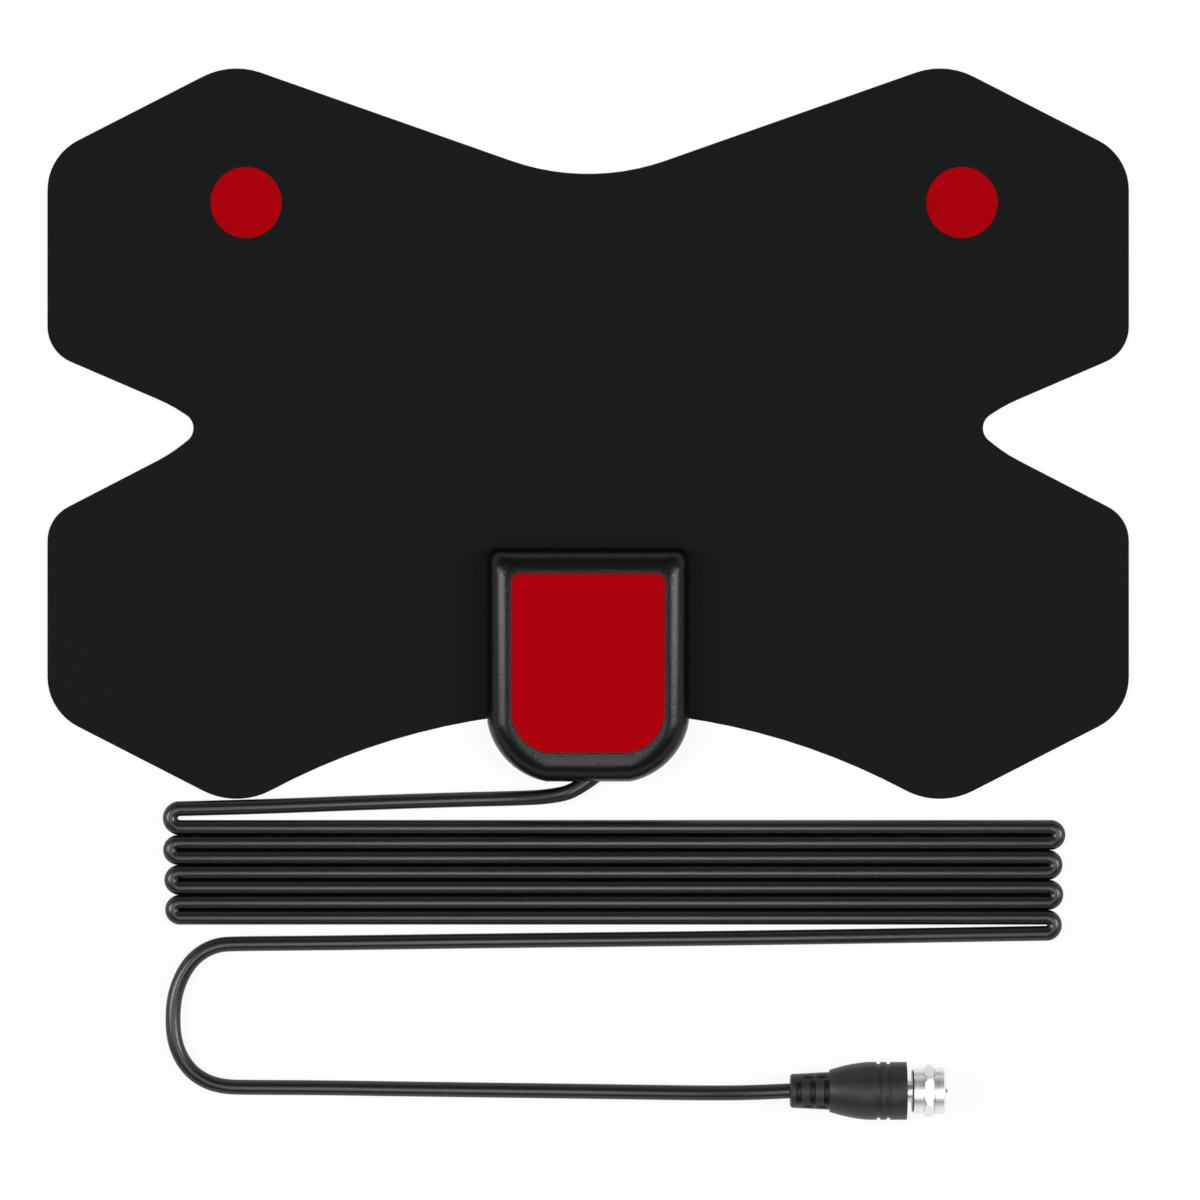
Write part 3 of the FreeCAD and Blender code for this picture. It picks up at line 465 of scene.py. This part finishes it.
# Cable core: the natural polyethylene round the inner conductor, bared inside the housing and in the plug.
# It is milky, with a waxy face.
CORE_CLOUD = 1.5 * MM
poly = new_material("natural polyethylene")
place = add_node(poly, "TexCoord")
cloud = add_node(poly, "TexNoise", {"Vector": (place, "Object"), "Scale": 1 / CORE_CLOUD, "Detail": 1.0})
tone = add_node(poly, "ValToRGB", {"Fac": (cloud, "Fac")})
tone.color_ramp.elements[0].color = linear("#DCDAD2")
tone.color_ramp.elements[1].color = linear("#E8E6E0")
surface = add_node(poly, "BsdfPrincipled", {"Base Color": (tone, "Color"), "Roughness": 0.45, "IOR": 1.51})
add_node(poly, "OutputMaterial", {"Surface": (surface, "BSDF")})
dress(poly, "coax_core", "plug_insulator")


# Plug boot: soft PVC moulded over the cable's end, with a slotted tail that lets the cable bend.
# Two grooves run round its thick end, and the mould's texture leaves it dull.
def spin_profile(shape, profile, steps):
    """Turn a profile of (x, radius) points about the X axis."""
    rim = [shape.verts.new((x * MM, 0, radius * MM)) for x, radius in profile]
    chain = [shape.edges.new(pair) for pair in zip(rim, rim[1:])]
    bmesh.ops.spin(
        shape, geom=rim + chain, cent=(0, 0, 0), axis=(1, 0, 0), dvec=(0, 0, 0),
        angle=2 * math.pi, steps=steps, use_merge=True,
    )
    bmesh.ops.recalc_face_normals(shape, faces=shape.faces)


def round_edges(shape, edges, radius):
    bmesh.ops.bevel(
        shape, geom=edges, offset=radius * MM, offset_type="OFFSET", affect="EDGES",
        segments=3, profile=0.5, clamp_overlap=True, material=-1,
    )


BOOT_LENGTH = 28.4
BOOT_STEPS = 96
TAIL_LENGTH = 9.6
TAIL_RADIUS = 4.1
TAIL_FLARE = 0.5
SHOULDER = 5.15
TAPER_END = 18.8
TAPER_BEND = 40
TAPER_STEPS = 8
GROOVES = (21.1, 23.5)
GROOVE_WIDTH = 0.9
GROOVE_DEPTH = 0.45
POST_HOLE = 4.5
POST_HOLE_DEPTH = 1.5
FACE_SLOTS = [(1.4, 2.7), (4.8, 6.1), (8.2, 9.4)]
FACE_LEAN = 42
SIDE_SLOTS = [(3.2, 5.4), (6.6, 8.8)]
SIDE_LEAN = (50, 66)
SLOT_DEPTH = 1.3
SLOT_DRAFT = 0.1
END_RADIUS = 4
SHARP = math.radians(40)
SOFT_EDGE = 0.12
profile = [(0.5, 1.7), (0, 2.2), (0, 3.7), (0.4, 4.12)]
for x in sorted({x for slot in FACE_SLOTS + SIDE_SLOTS for x in slot} | {TAIL_LENGTH}):
    profile.append((x, TAIL_RADIUS + TAIL_FLARE * x / TAIL_LENGTH))
run = TAPER_END - TAIL_LENGTH
rise = BOOT_RADIUS - SHOULDER
chord = math.hypot(run, rise)
for step in range(TAPER_STEPS + 1):
    share = step / TAPER_STEPS
    bulge = (share - share * share) * chord * chord / (2 * TAPER_BEND)
    x = TAIL_LENGTH + run * share - bulge * rise / chord
    radius = SHOULDER + rise * share + bulge * run / chord
    profile.append((x, radius))
for start in GROOVES:
    end = start + GROOVE_WIDTH
    floor_radius = BOOT_RADIUS - GROOVE_DEPTH
    profile += [(start, BOOT_RADIUS), (start, floor_radius), (end, floor_radius), (end, BOOT_RADIUS)]
profile += [(BOOT_LENGTH, BOOT_RADIUS), (BOOT_LENGTH, POST_HOLE), (BOOT_LENGTH - POST_HOLE_DEPTH, POST_HOLE)]
shape = bmesh.new()
spin_profile(shape, profile, BOOT_STEPS)
slots = []
for face in shape.faces:
    spot = face.calc_center_median() / MM
    lean = math.degrees(math.atan2(abs(spot.y), abs(spot.z)))
    if math.hypot(spot.y, spot.z) < END_RADIUS:
        continue
    on_face = lean < FACE_LEAN and any(low < spot.x < high for low, high in FACE_SLOTS)
    on_side = SIDE_LEAN[0] < lean < SIDE_LEAN[1] and any(low < spot.x < high for low, high in SIDE_SLOTS)
    if on_face or on_side:
        slots.append(face)
bmesh.ops.inset_region(
    shape, faces=slots, thickness=SLOT_DRAFT * MM, depth=-SLOT_DEPTH * MM,
    use_even_offset=True, use_boundary=True,
)
sharp = [edge for edge in shape.edges if edge.is_manifold and edge.calc_face_angle() > SHARP]
round_edges(shape, sharp, SOFT_EDGE)
bmesh.ops.translate(shape, verts=shape.verts, vec=PLUG * MM)

BOOT_GRAIN = 0.3 * MM
soft_pvc = new_material("soft PVC")
place = add_node(soft_pvc, "TexCoord")
grain = add_node(soft_pvc, "TexNoise", {"Vector": (place, "Object"), "Scale": 1 / BOOT_GRAIN, "Detail": 3.0})
tone = add_node(soft_pvc, "ValToRGB", {"Fac": (grain, "Fac")})
tone.color_ramp.elements[0].color = linear("#151517")
tone.color_ramp.elements[1].color = linear("#1D1D20")
relief = add_node(soft_pvc, "Bump", {"Height": (grain, "Fac"), "Strength": 0.2, "Distance": 0.03 * MM})
surface = add_node(soft_pvc, "BsdfPrincipled", {
    "Base Color": (tone, "Color"),
    "Normal": (relief, "Normal"),
    "Roughness": 0.46,
    "IOR": 1.53,
    "Specular IOR Level": 0.46,
})
add_node(soft_pvc, "OutputMaterial", {"Surface": (surface, "BSDF")})
boot = add_piece("plug_boot_moulding", shape, soft_pvc, "antenna", "plug_boot")


# Plug body: a turned brass post with satin nickel plate, pressed into the boot.
# It mirrors its surroundings softly, through faint turning lines, drawn coarser than the real ones.
TURNING = 0.5 * MM
nickel = new_material("nickel plate")
place = add_node(nickel, "TexCoord")
stretch = add_node(nickel, "Mapping", {"Vector": (place, "Object"), "Scale": [1.0, 0.04, 0.04]})
lines = add_node(nickel, "TexNoise", {"Vector": (stretch, "Vector"), "Scale": 1 / TURNING, "Detail": 2.0})
gloss = add_node(nickel, "MapRange", {"Value": (lines, "Fac"), "To Min": 0.24, "To Max": 0.52})
surface = add_node(nickel, "BsdfPrincipled", {
    "Base Color": linear("#EEEDEB"),
    "Metallic": 1.0,
    "Roughness": (gloss, "Result"),
})
add_node(nickel, "OutputMaterial", {"Surface": (surface, "BSDF")})
dress(nickel, "plug_body")


# Plug pin: the cable's own inner conductor, tinned copper wire cut to a point, in the middle of the plug.
# Drawn wire has fine lines along it, shown coarser than the real ones, and the tin is a warm grey.
WIRE_LINE = 0.3 * MM
tinned = new_material("tinned copper")
place = add_node(tinned, "TexCoord")
stretch = add_node(tinned, "Mapping", {"Vector": (place, "Object"), "Scale": [0.05, 1.0, 1.0]})
lines = add_node(tinned, "TexNoise", {"Vector": (stretch, "Vector"), "Scale": 1 / WIRE_LINE, "Detail": 2.0})
tone = add_node(tinned, "ValToRGB", {"Fac": (lines, "Fac")})
tone.color_ramp.elements[0].color = linear("#8F8880")
tone.color_ramp.elements[1].color = linear("#ABA39A")
surface = add_node(tinned, "BsdfPrincipled", {
    "Base Color": (tone, "Color"),
    "Metallic": 1.0,
    "Roughness": 0.35,
})
add_node(tinned, "OutputMaterial", {"Surface": (surface, "BSDF")})
dress(tinned, "plug_pin")


# Coupling nut: turned brass, nickel plated, with a narrow hexagon between two round collars.
# A lip holds it behind the post's flange, and a 32-per-inch thread runs inside its front.
NUT_START = 29.7
NUT_LENGTH = 8
NUT_STEPS = 96
SEAM = 0.001 * MM
LIP = 1.4
LIP_BORE = 2.95
BORE = 4.5
BORE_CHAMFER = 0.25
REAR_COLLAR = 5.45
FRONT_COLLAR = 5.65
COLLAR_CHAMFER = 0.4
WAIST = 5.2
HEX_START = 3.1
HEX_END = 5.2
HEX_GAP = 0.3
HEX_FLAT = 5.5
HEX_CORNER = HEX_FLAT / math.cos(math.pi / 6)
HEX_CROWN = 5.75
HEX_BEVEL = 0.45
HEX_SINK = 0.5
shape = bmesh.new()
spin_profile(shape, [
    (LIP, BORE),
    (LIP, LIP_BORE),
    (0, LIP_BORE),
    (0, REAR_COLLAR - COLLAR_CHAMFER),
    (COLLAR_CHAMFER, REAR_COLLAR),
    (HEX_START - HEX_GAP, REAR_COLLAR),
    (HEX_START - HEX_GAP / 2, WAIST),
    (HEX_END + HEX_GAP / 2, WAIST),
    (HEX_END + HEX_GAP, FRONT_COLLAR),
    (NUT_LENGTH - COLLAR_CHAMFER, FRONT_COLLAR),
    (NUT_LENGTH, FRONT_COLLAR - COLLAR_CHAMFER),
    (NUT_LENGTH, BORE + BORE_CHAMFER),
    (NUT_LENGTH - BORE_CHAMFER, BORE),
    (LIP, BORE),
], NUT_STEPS)
bmesh.ops.remove_doubles(shape, verts=shape.verts, dist=SEAM)


def hex_row(x, limit):
    """A hexagon, with its corners cut off by a circle."""
    row = []
    for step in range(NUT_STEPS):
        turn = 2 * math.pi * step / NUT_STEPS
        radius = min(limit, HEX_FLAT / math.cos(turn % (math.pi / 3) - math.pi / 6))
        row.append((x, radius * math.cos(turn), radius * math.sin(turn)))
    return row


join_rows(shape, [
    hex_row(HEX_START, HEX_FLAT - HEX_SINK),
    hex_row(HEX_START, HEX_CROWN),
    hex_row(HEX_START + HEX_BEVEL, HEX_CORNER),
    hex_row(HEX_END - HEX_BEVEL, HEX_CORNER),
    hex_row(HEX_END, HEX_CROWN),
    hex_row(HEX_END, HEX_FLAT - HEX_SINK),
])

INCH = 25.4
THREAD_PITCH = INCH / 32
THREAD_START = 2.8
THREAD_DEPTH = 0.3
THREAD_ROOT = 0.02
THREAD_TURNS = 5
THREAD_STEPS = 48
ridge = [
    shape.verts.new(Vector((THREAD_START + share * THREAD_PITCH, 0, radius)) * MM)
    for share, radius in ((0.1, BORE + THREAD_ROOT), (0.5, BORE - THREAD_DEPTH), (0.9, BORE + THREAD_ROOT))
]
chain = [shape.edges.new(pair) for pair in zip(ridge, ridge[1:])]
bmesh.ops.spin(
    shape, geom=ridge + chain, cent=(0, 0, 0), axis=(1, 0, 0), dvec=(THREAD_PITCH / THREAD_STEPS * MM, 0, 0),
    angle=2 * math.pi * THREAD_TURNS, steps=THREAD_STEPS * THREAD_TURNS, use_merge=False,
)
bmesh.ops.translate(shape, verts=shape.verts, vec=(PLUG + Vector((NUT_START, 0, 0))) * MM)
nut = add_piece("threaded_nut", shape, nickel, "coupling_nut", "coupling_nut", crease=10)


# Studio: a pale paper floor with a round backdrop, three soft lamps and a camera that looks straight down.
# The paper shows white to the camera and in reflections, and the floor still takes the soft shadow.
FLOOR_RADIUS = 12.0
BACKDROP_HEIGHT = 5.0
FLOOR_DROP = 0.05 * MM
floor_mesh = bmesh.new()
bmesh.ops.create_circle(floor_mesh, cap_ends=True, radius=FLOOR_RADIUS, segments=64)
wall = [edge for edge in floor_mesh.edges if edge.is_boundary]
grown = bmesh.ops.extrude_edge_only(floor_mesh, edges=wall)["geom"]
raised = [item for item in grown if isinstance(item, bmesh.types.BMVert)]
bmesh.ops.translate(floor_mesh, verts=raised, vec=(0, 0, BACKDROP_HEIGHT))
bmesh.ops.translate(floor_mesh, verts=floor_mesh.verts, vec=(0, 0, -FLOOR_DROP))
floor = bpy.data.objects.new("studio_floor", bpy.data.meshes.new("studio_floor"))
floor_mesh.to_mesh(floor.data)
floor_mesh.free()
bpy.context.scene.collection.objects.link(floor)

SHOWN_WHITE = 0.88
paper = new_material("white paper")
rays = add_node(paper, "LightPath")
direct = add_node(paper, "Math", {
    0: (rays, "Is Camera Ray"),
    1: (rays, "Is Glossy Ray"),
}, operation="MAXIMUM")
seen = add_node(paper, "Math", {
    0: (direct, "Value"),
    1: (rays, "Is Transmission Ray"),
}, operation="MAXIMUM")
share = add_node(paper, "Math", {0: (seen, "Value"), 1: SHOWN_WHITE}, operation="MULTIPLY")
lit = add_node(paper, "BsdfDiffuse", {"Color": linear("#F4F4F4")})
white = add_node(paper, "Emission", {"Color": linear("#FFFFFF"), "Strength": 1.0})
blend = add_node(paper, "MixShader", {0: (share, "Value"), 1: (lit, "BSDF"), 2: (white, "Emission")})
add_node(paper, "OutputMaterial", {"Surface": (blend, "Shader")})
floor.data.materials.append(paper)

SKY_LIGHT = 0.16
world = bpy.data.worlds.new("studio")
world.use_nodes = True
world.node_tree.nodes.clear()
sky = add_node(world, "Background", {"Color": linear("#FFFFFF"), "Strength": SKY_LIGHT})
add_node(world, "OutputWorld", {"Surface": (sky, "Background")})
bpy.context.scene.world = world

MIDDLE = (0.0, -0.06, 0.0)
SIDE_SIZE = (0.36, 0.8)
SIDE_POWER = 10.0
LAMPS = {
    "lamp_front": ((0.0, -0.5, 1.3), (0.0, -0.5, 0.0), (0.26, 0.92), 4.6),
    "lamp_left": ((-0.95, 0.0, 1.05), MIDDLE, SIDE_SIZE, SIDE_POWER),
    "lamp_right": ((0.95, 0.0, 1.05), MIDDLE, SIDE_SIZE, SIDE_POWER),
}
for name, (spot, target, (width, height), power) in LAMPS.items():
    light = bpy.data.lights.new(name, "AREA")
    light.shape = "RECTANGLE"
    light.size = width
    light.size_y = height
    light.energy = power
    lamp = bpy.data.objects.new(name, light)
    lamp.location = spot
    aim = Vector(target) - lamp.location
    lamp.rotation_euler = aim.to_track_quat("-Z", "Y").to_euler()
    bpy.context.scene.collection.objects.link(lamp)

PHOTO_WIDTH = 294.17 * MM
CAMERA_HEIGHT = 1.6
CAMERA_PLACE = (2.9 * MM, -40.8 * MM, CAMERA_HEIGHT)
eye = bpy.data.cameras.new("camera")
eye.sensor_width = 36.0
eye.lens = eye.sensor_width * CAMERA_HEIGHT / PHOTO_WIDTH
camera = bpy.data.objects.new("camera", eye)
camera.location = CAMERA_PLACE
bpy.context.scene.collection.objects.link(camera)
bpy.context.scene.camera = camera
bpy.context.scene.view_settings.view_transform = "Standard"
